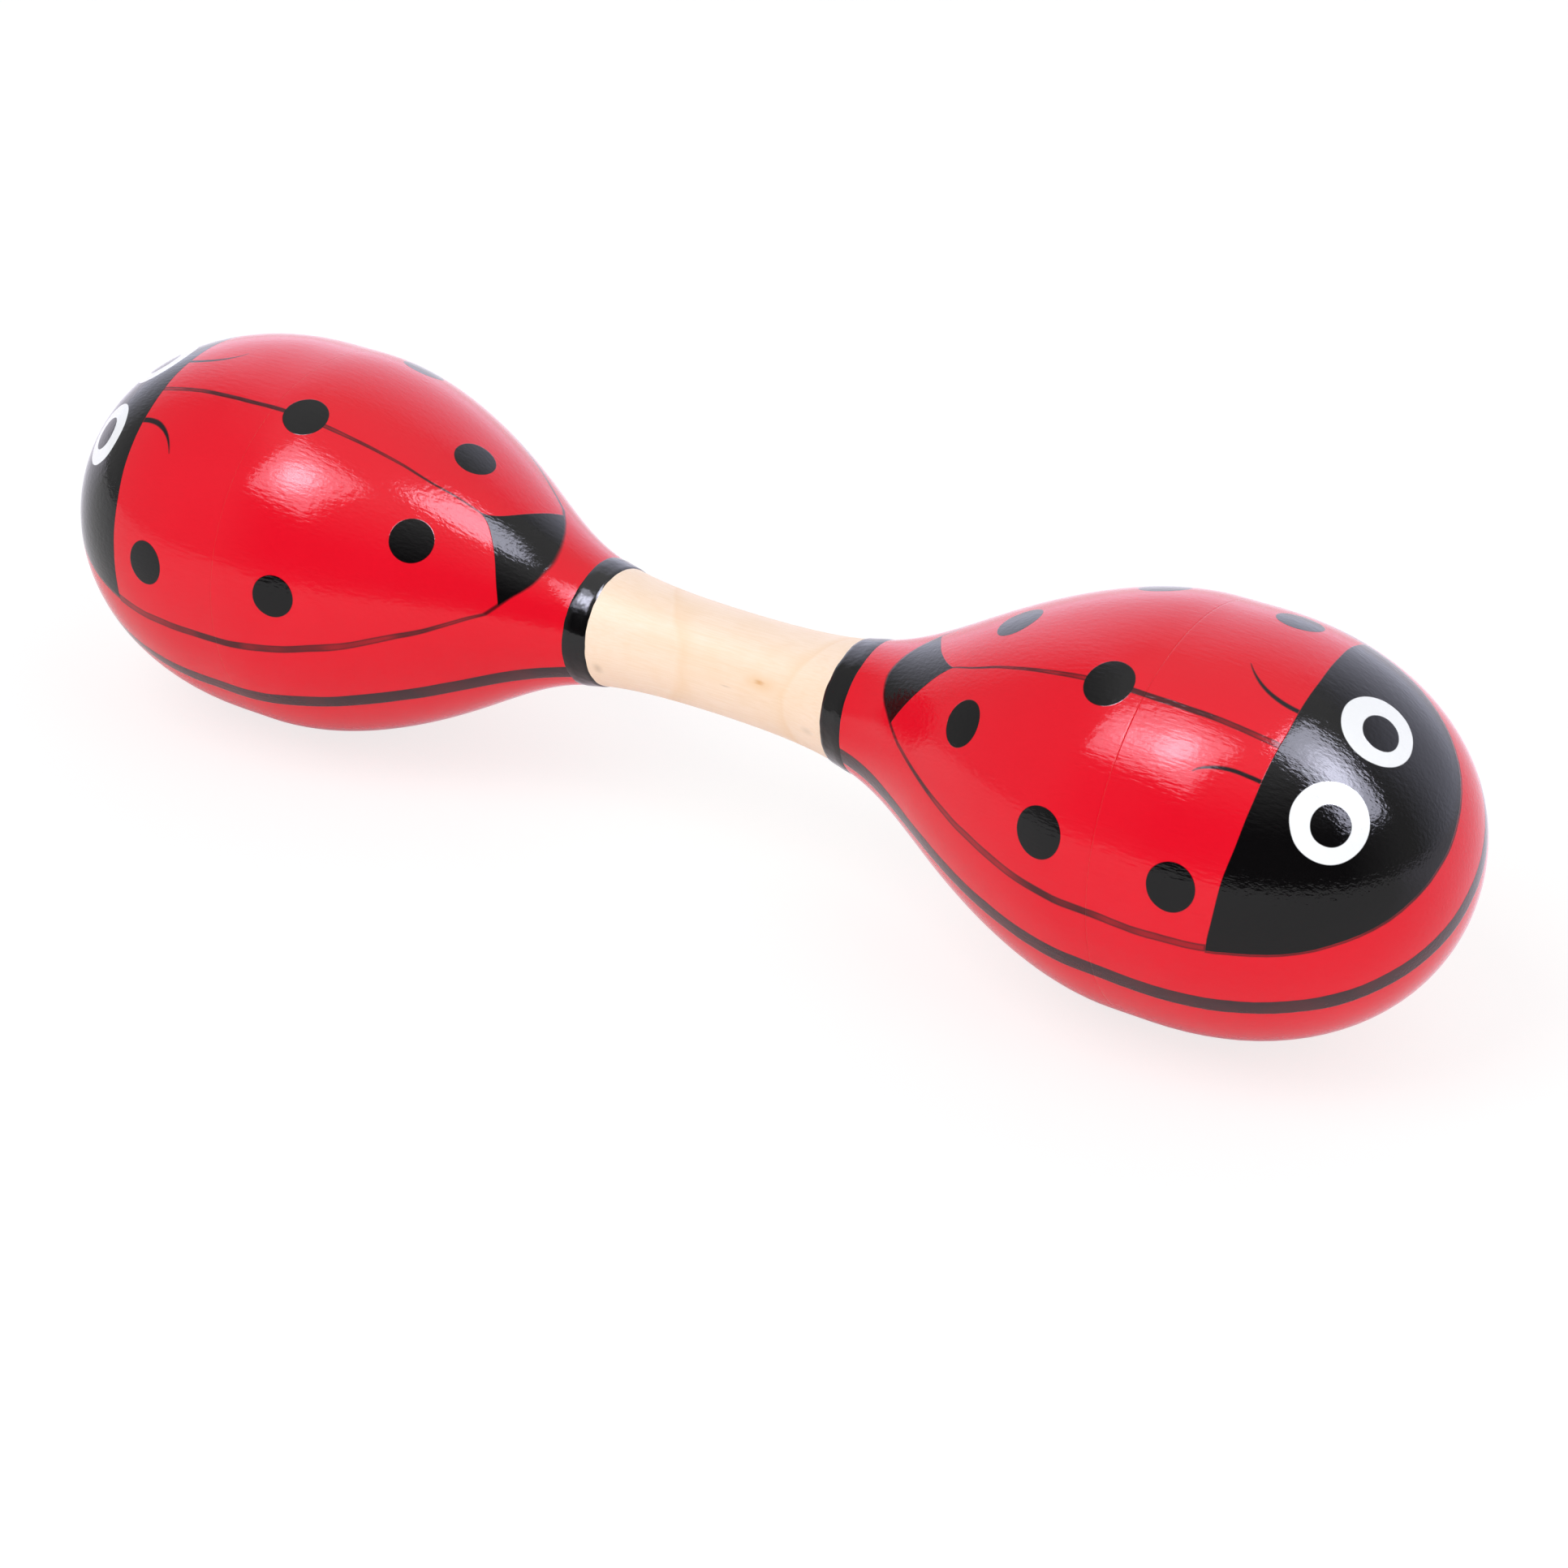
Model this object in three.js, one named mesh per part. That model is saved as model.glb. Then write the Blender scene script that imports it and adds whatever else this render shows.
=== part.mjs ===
// A double maraca: two hollow wooden bulbs on a turned grip, with loose steel pellets sealed inside.
// Sizes are in millimetres. The turning axis runs along X, and the bulbs lie on the plane z = 0.
import * as THREE from 'three';

// Distances run along the turning axis from the middle of the grip.
const overallLength = 230;

// Grip: a waisted handle with a tenon at each end.
const gripLength = 40.6; // bare wood between the two bulbs
const gripDiameter = 15.2; // at the waist
const tenonLength = 18;
const tenonDiameter = 10;
const tenonChamfer = 0.8;

// Outside of a bulb: a hollow neck flares out, swells to a short parallel land and closes in a crown.
const flareDistance = 40.3; // where the hollow neck turns into the swell
const flareDiameter = 35;
const flareSlope = 0.587; // radius gained along each millimetre there
const widestDistance = 75.9; // middle of the land
const bulbDiameter = 57.7;
const landLength = 6;

// Fullness of each curve: the pull of its end as a share of the curve's own span.
const waistFullness = 0.568;
const neckFullness = 0.319;
const swellFullness = 0.214;
const landFullness = 0.38;
const crownFullness = 0.588;
const tipFullness = 0.581;

// Shells: each bulb is a neck half and a cap, lapped and glued at a seam.
const wallThickness = 6;
const seamDistance = 73.7;
const lapLength = 4; // spigot of the cap inside the rebate of the neck half
const glueGap = 0.15; // room for glue in every joint

// Pellets: loose shot resting side by side on the floor of each chamber.
const pelletDiameter = 5;
const pelletSpacing = 0.4; // clear space between neighbours
const pelletClearance = 0.3; // clear space to the chamber wall
const pelletRows = [3, 4, 3]; // pellets in each row, row by row across the chamber

// Smoothness of the turned surfaces
const facetCount = 32;
const curveSteps = 10;

const halfLength = overallLength / 2;
const gripEnd = gripLength / 2;
const tenonEnd = gripEnd + tenonLength;
const gripRadius = gripDiameter / 2;
const tenonRadius = tenonDiameter / 2;
const flareRadius = flareDiameter / 2;
const bulbRadius = bulbDiameter / 2;
const pelletRadius = pelletDiameter / 2;
const facetFlat = Math.cos(Math.PI / facetCount); // a facet's distance from the axis for a radius of 1

const bareWood = new THREE.MeshStandardMaterial({ color: '#d9b48a', roughness: 0.55, metalness: 0 });
const redLacquer = new THREE.MeshStandardMaterial({ color: '#c9182b', roughness: 0.18, metalness: 0 });
const shotSteel = new THREE.MeshStandardMaterial({ color: '#b9bcc0', roughness: 0.3, metalness: 1 });

// The outside of one half of the maraca, from the waist to the tip, as points of (distance, radius).
function halfOutline() {
  const landStart = widestDistance - landLength / 2;
  const landEnd = widestDistance + landLength / 2;
  const swellSpan = landStart - flareDistance;
  const crownSpan = halfLength - landEnd;
  const neckPull = neckFullness * flareDistance;
  const swellPull = swellFullness * swellSpan;

  const outline = new THREE.Path();
  outline.moveTo(0, gripRadius);
  outline.bezierCurveTo(
    waistFullness * flareDistance, gripRadius,
    flareDistance - neckPull, flareRadius - neckPull * flareSlope,
    flareDistance, flareRadius,
  );
  outline.bezierCurveTo(
    flareDistance + swellPull, flareRadius + swellPull * flareSlope,
    landStart - landFullness * swellSpan, bulbRadius,
    landStart, bulbRadius,
  );
  outline.lineTo(landEnd, bulbRadius);
  outline.bezierCurveTo(
    landEnd + crownFullness * crownSpan, bulbRadius,
    halfLength, tipFullness * bulbRadius,
    halfLength, 0,
  );
  return outline.getPoints(curveSteps);
}

// The half outline moved inwards, square to itself. Past its ends the outline carries on as a mirror image.
function inset(points, depth) {
  const mirroredStart = new THREE.Vector2(-points[1].x, points[1].y);
  const mirroredEnd = new THREE.Vector2(points.at(-2).x, -points.at(-2).y);
  return points.map((point, i) => {
    const before = points[i - 1] ?? mirroredStart;
    const after = points[i + 1] ?? mirroredEnd;
    const along = after.clone().sub(before).normalize();
    return new THREE.Vector2(point.x + along.y * depth, point.y - along.x * depth);
  });
}

function radiusAt(points, distance) {
  const next = points.findIndex((point) => point.x >= distance);
  const from = points[next - 1];
  const to = points[next];
  const share = (distance - from.x) / (to.x - from.x);
  return from.y + (to.y - from.y) * share;
}

function pointAt(points, distance) {
  return new THREE.Vector2(distance, radiusAt(points, distance));
}

// The points of an outline that lie strictly between two distances.
function pointsBetween(points, start, end) {
  return points.filter((point) => point.x > start && point.x < end);
}

// A profile of (distance, radius) points turned about the X axis, with a flat facet lowest.
function turned(profile) {
  const lathePoints = profile.map((point) => new THREE.Vector2(point.y, point.x));
  const lathe = new THREE.LatheGeometry(lathePoints, facetCount, Math.PI / facetCount);
  return lathe.rotateZ(-Math.PI / 2);
}

function named(name, geometry, material) {
  const mesh = new THREE.Mesh(geometry, material);
  mesh.name = name;
  return mesh;
}

const outside = halfOutline();
const chamber = inset(outside, wallThickness);

function grip() {
  const half = [
    ...pointsBetween(outside, 0, gripEnd),
    pointAt(outside, gripEnd),
    new THREE.Vector2(gripEnd, tenonRadius),
    new THREE.Vector2(tenonEnd - tenonChamfer, tenonRadius),
    new THREE.Vector2(tenonEnd, tenonRadius - tenonChamfer),
    new THREE.Vector2(tenonEnd, 0),
  ];
  const otherHalf = half.map((point) => new THREE.Vector2(-point.x, point.y)).reverse();
  return turned([...otherHalf, new THREE.Vector2(0, gripRadius), ...half]);
}

// Radius of the lap joint, half way through the wall at the seam.
const lapRadius = radiusAt(outside, seamDistance) - wallThickness / 2;

// The inner half: a socket for the grip's tenon opens into the chamber, and the rim has a rebate inside.
function neckShell() {
  const socketStart = gripEnd + glueGap;
  const socketRadius = tenonRadius + glueGap;
  const rebateFloor = seamDistance - lapLength - glueGap;
  const rebateRadius = lapRadius + glueGap;
  const start = new THREE.Vector2(socketStart, socketRadius);
  return turned([
    start,
    pointAt(outside, socketStart),
    ...pointsBetween(outside, socketStart, seamDistance),
    pointAt(outside, seamDistance),
    new THREE.Vector2(seamDistance, rebateRadius),
    new THREE.Vector2(rebateFloor, rebateRadius),
    pointAt(chamber, rebateFloor),
    ...pointsBetween(chamber, tenonEnd, rebateFloor).reverse(),
    pointAt(chamber, tenonEnd),
    new THREE.Vector2(tenonEnd, socketRadius),
    start,
  ]);
}

// The outer half: a cup whose spigot fits the rebate of the neck half.
function capShell() {
  const rim = seamDistance + glueGap;
  const spigotEnd = seamDistance - lapLength;
  return turned([
    ...pointsBetween(chamber, spigotEnd, halfLength).reverse(),
    pointAt(chamber, spigotEnd),
    new THREE.Vector2(spigotEnd, lapRadius),
    new THREE.Vector2(rim, lapRadius),
    pointAt(outside, rim),
    ...pointsBetween(outside, rim, halfLength),
    new THREE.Vector2(halfLength, 0),
  ]);
}

// Centres of the pellets at rest: staggered rows on the chamber floor, under its widest place.
function pelletPlaces() {
  const pitch = pelletDiameter + pelletSpacing;
  const rowPitch = pitch * Math.sin(Math.PI / 3);
  const reach = inset(outside, wallThickness + pelletClearance + pelletRadius);
  return pelletRows.flatMap((count, row) => {
    const y = (row - (pelletRows.length - 1) / 2) * rowPitch;
    return Array.from({ length: count }, (_, i) => {
      const x = widestDistance + (i - (count - 1) / 2) * pitch;
      const reachRadius = radiusAt(reach, x) * facetFlat;
      return new THREE.Vector3(x, y, -Math.sqrt(reachRadius ** 2 - y ** 2));
    });
  });
}

function bulb(side) {
  const group = new THREE.Group();
  group.add(named(`${side}_neck_shell`, neckShell(), redLacquer));
  group.add(named(`${side}_cap_shell`, capShell(), redLacquer));
  pelletPlaces().forEach((place, i) => {
    const number = String(i + 1).padStart(2, '0');
    const pellet = named(`${side}_pellet_${number}`, new THREE.IcosahedronGeometry(pelletRadius, 1), shotSteel);
    pellet.position.copy(place);
    group.add(pellet);
  });
  return group;
}

const maraca = new THREE.Group();
maraca.position.z = bulbRadius * facetFlat;

const rightBulb = bulb('right');
const leftBulb = bulb('left');
leftBulb.rotation.z = Math.PI;
maraca.add(named('grip', grip(), bareWood), rightBulb, leftBulb);

export default maraca;
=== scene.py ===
# Looks of a double maraca: a bare turned grip between two lacquered bulbs, each painted as a ladybird.
# Sizes are in millimetres unless a line says otherwise. The turning axis runs along X.
import math
import random
from functools import partial

import bmesh
import bpy
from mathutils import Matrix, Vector, noise
from mathutils.geometry import interpolate_bezier


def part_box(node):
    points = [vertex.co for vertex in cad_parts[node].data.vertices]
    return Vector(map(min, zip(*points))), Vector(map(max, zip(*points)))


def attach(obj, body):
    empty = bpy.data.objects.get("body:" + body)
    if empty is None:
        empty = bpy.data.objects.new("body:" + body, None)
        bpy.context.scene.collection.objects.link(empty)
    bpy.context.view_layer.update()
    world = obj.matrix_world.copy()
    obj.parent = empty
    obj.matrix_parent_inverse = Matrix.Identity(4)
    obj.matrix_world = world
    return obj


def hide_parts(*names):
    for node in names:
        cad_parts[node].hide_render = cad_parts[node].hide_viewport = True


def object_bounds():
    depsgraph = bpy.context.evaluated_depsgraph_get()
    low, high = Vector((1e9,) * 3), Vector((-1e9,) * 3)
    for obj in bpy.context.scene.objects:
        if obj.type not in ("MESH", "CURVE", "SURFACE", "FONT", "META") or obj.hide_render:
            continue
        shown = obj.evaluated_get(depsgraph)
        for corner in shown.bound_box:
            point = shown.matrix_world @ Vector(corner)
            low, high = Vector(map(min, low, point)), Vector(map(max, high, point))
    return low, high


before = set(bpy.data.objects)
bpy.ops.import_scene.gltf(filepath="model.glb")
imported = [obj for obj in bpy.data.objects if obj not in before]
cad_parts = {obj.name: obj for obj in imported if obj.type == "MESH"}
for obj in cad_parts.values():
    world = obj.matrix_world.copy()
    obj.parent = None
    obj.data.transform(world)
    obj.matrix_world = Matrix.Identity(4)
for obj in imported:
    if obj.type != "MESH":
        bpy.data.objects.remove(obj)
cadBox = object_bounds()

mm = 0.001
gripLow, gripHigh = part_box("grip")
axisHeight = (gripLow.z + gripHigh.z) / 2  # metres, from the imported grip
tenonEnd = round(gripHigh.x / mm, 3)
halfLength = round(cadBox[1].x / mm, 3)


def linearColour(hexCode):
    parts = [int(hexCode[i:i + 2], 16) / 255 for i in (1, 3, 5)]
    linear = [c / 12.92 if c <= 0.04045 else ((c + 0.055) / 1.055) ** 2.4 for c in parts]
    return (*linear, 1.0)


# Adds one shader node with its settings, values and links. A node given as a value is linked by its
# first open output.
def addNode(tree, kind, inputs=None, **settings):
    node = tree.nodes.new("ShaderNode" + kind)
    for name, value in settings.items():
        setattr(node, name, value)
    for key, value in (inputs or {}).items():
        socket = node.inputs[key]
        if isinstance(key, str):
            socket = next(s for s in node.inputs if s.name == key and s.enabled)
        if isinstance(value, bpy.types.Node):
            value = next(s for s in value.outputs if s.enabled)
        if isinstance(value, bpy.types.NodeSocket):
            tree.links.new(value, socket)
        else:
            socket.default_value = value
    return node


def newMaterial(name):
    material = bpy.data.materials.new(name)
    material.use_nodes = True
    material.node_tree.nodes.clear()
    return material, partial(addNode, material.node_tree)


# Camera, at the photograph's viewing angle

camera = {
    "place": (298.0, -428.9, 301.4),
    "aim": (8.8, 0.0, 11.7),
    "lens": 94.97, "sensor": 36.0,
    "nearest": 0.01, "furthest": 100.0,  # metres
}


def makeCamera():
    data = bpy.data.cameras.new("camera")
    data.lens = camera["lens"]
    data.sensor_width = camera["sensor"]
    data.clip_start = camera["nearest"]
    data.clip_end = camera["furthest"]
    cameraObject = bpy.data.objects.new("camera", data)
    cameraObject.location = Vector(camera["place"]) * mm
    toAim = (Vector(camera["aim"]) - Vector(camera["place"])).normalized()
    cameraObject.rotation_euler = toAim.to_track_quat("-Z", "Y").to_euler()
    bpy.context.scene.collection.objects.link(cameraObject)
    bpy.context.scene.camera = cameraObject


makeCamera()
print("camera placed")


# Outline of one half, from the waist to the tip, as (distance along the axis, radius)

turning = {
    "gripRadius": 7.6,
    "flareAt": 40.3, "flareRadius": 17.5, "flareSlope": 0.587,
    "landStart": 72.9, "landEnd": 78.9, "bulbRadius": 28.85,
    "waistPull": 22.9, "neckPull": 12.86, "swellPull": 6.98,
    "landPull": 12.39, "crownPull": 21.23, "tipPull": 16.76,
    "wall": 6.0,
    "curveSteps": 26, "turnSteps": 144, "weldGap": 0.001,
}


def halfOutline():
    t = turning
    neckDrop = t["neckPull"] * t["flareSlope"]
    swellRise = t["swellPull"] * t["flareSlope"]
    curves = [
        [(0, t["gripRadius"]), (t["waistPull"], t["gripRadius"]),
         (t["flareAt"] - t["neckPull"], t["flareRadius"] - neckDrop), (t["flareAt"], t["flareRadius"])],
        [(t["flareAt"], t["flareRadius"]), (t["flareAt"] + t["swellPull"], t["flareRadius"] + swellRise),
         (t["landStart"] - t["landPull"], t["bulbRadius"]), (t["landStart"], t["bulbRadius"])],
        [(t["landEnd"], t["bulbRadius"]), (t["landEnd"] + t["crownPull"], t["bulbRadius"]),
         (halfLength, t["tipPull"]), (halfLength, 0)],
    ]
    points = []
    for knots in curves:
        bent = interpolate_bezier(*[Vector((s, r, 0)) for s, r in knots], t["curveSteps"])
        points += [knots[0], *[(p.x, p.y) for p in bent[1:-1]], knots[-1]]
    return list(dict.fromkeys(points))  # the neck and the swell share a knot


def insetOutline(points, depth):
    moved = []
    for before, point, after in zip(points, points[1:], points[2:]):
        along = Vector((after[0] - before[0], after[1] - before[1])).normalized()
        moved.append((point[0] + along.y * depth, point[1] - along.x * depth))
    return moved


def radiusAt(points, distance):
    for (s0, r0), (s1, r1) in zip(points, points[1:]):
        if s0 <= distance <= s1:
            return r0 + (r1 - r0) * (distance - s0) / (s1 - s0)


def stretchOf(points, start, end):
    middle = [p for p in points if start < p[0] < end]
    return [(start, radiusAt(points, start)), *middle, (end, radiusAt(points, end))]


outside = halfOutline()
chamber = insetOutline(outside, turning["wall"])


# Turns a profile once round the axis, on the right (1) or left (-1) side, and returns the new faces.
def turnProfile(bm, profile, side=1):
    known = set(bm.faces)
    verts = [bm.verts.new((s * mm * side, 0, r * mm)) for s, r in profile]
    edges = [bm.edges.new(pair) for pair in zip(verts, verts[1:])]
    bmesh.ops.spin(bm, geom=verts + edges, cent=(0, 0, 0), axis=(1, 0, 0),
                   angle=math.tau, steps=turning["turnSteps"], use_merge=True)
    return [face for face in bm.faces if face not in known]


def weld(bm):
    bmesh.ops.remove_doubles(bm, verts=bm.verts, dist=turning["weldGap"] * mm)
    bmesh.ops.recalc_face_normals(bm, faces=bm.faces)


creaseAngle = math.radians(38)


def addPiece(name, bm, body, materials, replaced=()):
    for face in bm.faces:
        face.smooth = True
    for edge in bm.edges:
        edge.smooth = edge.calc_face_angle(0) < creaseAngle
    mesh = bpy.data.meshes.new(name)
    bm.to_mesh(mesh)
    bm.free()
    for material in materials:
        mesh.materials.append(material)
    piece = bpy.data.objects.new(name, mesh)
    bpy.context.scene.collection.objects.link(piece)
    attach(piece, body)
    if replaced:
        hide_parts(*replaced)
    return piece


# Limewood, turned, sanded and sealed with a thin satin varnish: pale cream with one warm growth ring,
# fine fibres along the axis, a pin knot and a few handling marks.

limewood = {
    "pale": "#fee6d0", "warm": "#f4cfa4", "fibre": "#f7dabb",
    "ringRadius": 8.11, "ringSpacing": 1.7, "ringWander": 0.16,
    "ringTilt": -0.025,  # radius gained along each mm
    "ringStrength": 0.38, "lateWoodStart": 0.9, "earlyWoodEnd": 0.03,  # the last two are shares of a ring
    "pithShift": 0.4, "pithTurn": 8.0,  # the pith lies off the axis, away from this angle
    "fibreWidth": 0.22, "fibreLength": 5.0, "fibreRange": (0.4, 0.72), "fibreStrength": 0.65,
    "mottleSize": 6.0, "mottleRange": (0.4, 0.75), "mottleStrength": 0.3,
    "roughness": (0.37, 0.51), "ior": 1.4,
    "bumpStrength": 0.25, "bumpDepth": 0.03,
    "markEnds": (1.5, 0.4),  # where a mark ends and where it is full, in half sizes
    "markRaggedness": 0.9,
    # kind of mark: distance, angle up from the front, half length, half width, strength, colour
    "marks": {
        "pin knot": (9.5, 21.2, 1.2, 0.5, 0.7, "#cf8a3e"),
        "knot halo": (9.7, 20.5, 3.4, 1.6, 0.45, "#edbd80"),
        "left scuff": (-18.0, -18.0, 1.1, 1.3, 0.36, "#9c8468"),
        "hair mark": (4.0, 5.6, 1.3, 0.16, 0.3, "#8f8170"),
        "right smudge": (18.2, -12.0, 1.5, 0.9, 0.24, "#a89682"),
    },
}


def makeLimewood():
    wood = limewood
    material, put = newMaterial("sealed_limewood")
    objectPlace = put("TexCoord").outputs["Object"]
    centred = put("VectorMath", {0: objectPlace, 1: (0, 0, axisHeight)}, operation="SUBTRACT")
    place = put("VectorMath", {0: centred, "Scale": 1 / mm}, operation="SCALE")

    # Growth rings: distance from a pith that lies a little off the axis, wandering slightly.
    turn = math.radians(wood["pithTurn"])
    pith = (0, math.cos(turn) * wood["pithShift"], -math.sin(turn) * wood["pithShift"])
    fromPith = put("VectorMath", {0: place, 1: pith}, operation="SUBTRACT")
    acrossPith = put("VectorMath", {0: fromPith, 1: (0, 1, 1)}, operation="MULTIPLY")
    ringRadius = put("VectorMath", {0: acrossPith}, operation="LENGTH").outputs["Value"]
    along = put("SeparateXYZ", {0: place}).outputs["X"]
    tilted = put("Math", {0: along, 1: wood["ringTilt"], 2: ringRadius}, operation="MULTIPLY_ADD")
    wander = put("TexNoise", {"Vector": place, "Scale": 1 / wood["mottleSize"], "Detail": 2.0})
    wandered = put("Math", {0: wander, 1: wood["ringWander"], 2: tilted}, operation="MULTIPLY_ADD")
    firstRing = wood["ringRadius"] + wood["ringWander"] / 2
    rings = put("Math", {0: wandered, 1: firstRing}, operation="SUBTRACT")
    share = put("Math", {0: rings, 1: wood["ringSpacing"]}, operation="DIVIDE")
    ringShare = put("Math", {0: share}, operation="FRACT")
    lateWood = put("MapRange", {"Value": ringShare, "From Min": wood["lateWoodStart"], "From Max": 1.0})
    earlyWood = put("MapRange", {"Value": ringShare, "From Min": wood["earlyWoodEnd"], "From Max": 0.0})
    ringTint = put("Math", {0: lateWood, 1: earlyWood}, operation="MAXIMUM")
    ringAmount = put("Math", {0: ringTint, 1: wood["ringStrength"]}, operation="MULTIPLY")

    # Fibres: noise stretched along the axis.
    stretch = (1 / wood["fibreLength"], 1 / wood["fibreWidth"], 1 / wood["fibreWidth"])
    fibrePlace = put("VectorMath", {0: place, 1: stretch}, operation="MULTIPLY")
    fibres = put("TexNoise", {"Vector": fibrePlace, "Scale": 1.0, "Detail": 3.0, "Roughness": 0.6})
    least, most = wood["fibreRange"]
    fibreAmount = put("MapRange", {"Value": fibres, "From Min": least, "From Max": most,
                                   "To Max": wood["fibreStrength"]})
    least, most = wood["mottleRange"]
    mottled = put("MapRange", {"Value": wander, "From Min": least, "From Max": most,
                               "To Max": wood["mottleStrength"]})

    colour = put("Mix", {"Factor": fibreAmount, "A": linearColour(wood["pale"]),
                         "B": linearColour(wood["fibre"])}, data_type="RGBA")
    for amount in (mottled, ringAmount):
        colour = put("Mix", {"Factor": amount, "A": colour, "B": linearColour(wood["warm"])},
                     data_type="RGBA")

    # Marks: soft ellipses on the surface, ragged along the fibres.
    markEnd, markFull = wood["markEnds"]
    for distance, angle, halfLong, halfWide, strength, tint in wood["marks"].values():
        radius = radiusAt(outside, abs(distance))
        lift = math.radians(angle)
        centre = (distance, -radius * math.cos(lift), radius * math.sin(lift))
        offset = put("VectorMath", {0: place, 1: centre}, operation="SUBTRACT")
        scaled = put("VectorMath", {0: offset, 1: (1 / halfLong, 1 / halfWide, 1 / halfWide)},
                     operation="MULTIPLY")
        reach = put("VectorMath", {0: scaled}, operation="LENGTH").outputs["Value"]
        ragged = put("Math", {0: fibres, 1: wood["markRaggedness"], 2: reach}, operation="MULTIPLY_ADD")
        amount = put("MapRange", {"Value": ragged, "From Min": markEnd, "From Max": markFull,
                                  "To Max": strength}, interpolation_type="SMOOTHSTEP")
        colour = put("Mix", {"Factor": amount, "A": colour, "B": linearColour(tint)}, data_type="RGBA")

    least, most = wood["roughness"]
    roughness = put("MapRange", {"Value": fibres, "To Min": least, "To Max": most})
    bump = put("Bump", {"Height": fibres, "Strength": wood["bumpStrength"],
                        "Distance": wood["bumpDepth"] * mm})
    shader = put("BsdfPrincipled", {"Base Color": colour, "Roughness": roughness, "Normal": bump,
                                    "IOR": wood["ior"]})
    put("OutputMaterial", {"Surface": shader})
    return material


# The same wood left raw from the tool inside the bulbs: dull, with fine turning rings across the fibres.

rawWood = {
    "pale": "#d8b88c", "dark": "#b98f5d",
    "fibreWidth": 0.4, "fibreLength": 10.0,
    "toolPitch": 0.8, "toolShare": 0.3,  # the share is the tool marks' part in the relief
    "roughness": (0.62, 0.85),
    "bumpStrength": 0.5, "bumpDepth": 0.05,
}


def makeRawWood():
    wood = rawWood
    material, put = newMaterial("raw_turned_limewood")
    place = put("VectorMath", {0: put("TexCoord").outputs["Object"], "Scale": 1 / mm}, operation="SCALE")
    stretch = (1 / wood["fibreLength"], 1 / wood["fibreWidth"], 1 / wood["fibreWidth"])
    fibrePlace = put("VectorMath", {0: place, 1: stretch}, operation="MULTIPLY")
    fibres = put("TexNoise", {"Vector": fibrePlace, "Scale": 1.0, "Detail": 4.0})
    along = put("SeparateXYZ", {0: place}).outputs["X"]
    turns = put("Math", {0: along, 1: math.tau / wood["toolPitch"]}, operation="MULTIPLY")
    toolMarks = put("Math", {0: turns}, operation="SINE")
    colour = put("Mix", {"Factor": fibres, "A": linearColour(wood["pale"]),
                         "B": linearColour(wood["dark"])}, data_type="RGBA")
    height = put("Math", {0: toolMarks, 1: wood["toolShare"], 2: fibres}, operation="MULTIPLY_ADD")
    bump = put("Bump", {"Height": height, "Strength": wood["bumpStrength"],
                        "Distance": wood["bumpDepth"] * mm})
    least, most = wood["roughness"]
    roughness = put("MapRange", {"Value": fibres, "To Min": least, "To Max": most})
    shader = put("BsdfPrincipled", {"Base Color": colour, "Roughness": roughness, "Normal": bump})
    put("OutputMaterial", {"Surface": shader})
    return material


# Sprayed red nitro lacquer on turned wood with hand-painted enamel on top: a smooth gloss with a slight
# orange peel, thin brush lines that let the red through, and raised edges where the black is thick.

lacquer = {
    "red": "#e81329", "deepRed": "#e20f24", "driftSize": 14.0,  # one red drifts into the other
    "black": "#0c0b0c", "dryBlack": "#1f1116", "thinBlack": "#34262b", "white": "#f8fafe",
    "roughness": (0.055, 0.135), "ior": 1.38,
    "peelSize": 0.9, "peelHeight": 0.018,
    # The real pores are too fine to show, so the grain is drawn a few times wider.
    "grainLength": 2.6, "grainWidth": 0.45, "grainHeight": 0.031,
    "paintHeight": 0.018,
    "handWobble": 0.26, "wobbleLength": 8.0,
    "edgeSoftness": 0.06, "lineSoftness": 0.1, "lowerSoftness": 0.09,
    # How far a line's middle, where the brush ran dry, lets the red through. The lower line is thicker.
    "lineThinning": 0.48, "leastThinning": 0.2, "lowerThinning": 0.12,
    "dryRange": (0.4, 0.65), "middleStart": 0.04, "middleFull": 0.24,
    "wingTaper": 25.0, "wingOverlap": 1.0,
    "edgeLead": 1.5, "edgeTaper": 22.0, "edgeTip": 0.12,
    "feelerTip": 0.05, "feelerCut": 4.0, "cheekRim": 0.3,
    "seamWidth": 0.2,
}

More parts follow.
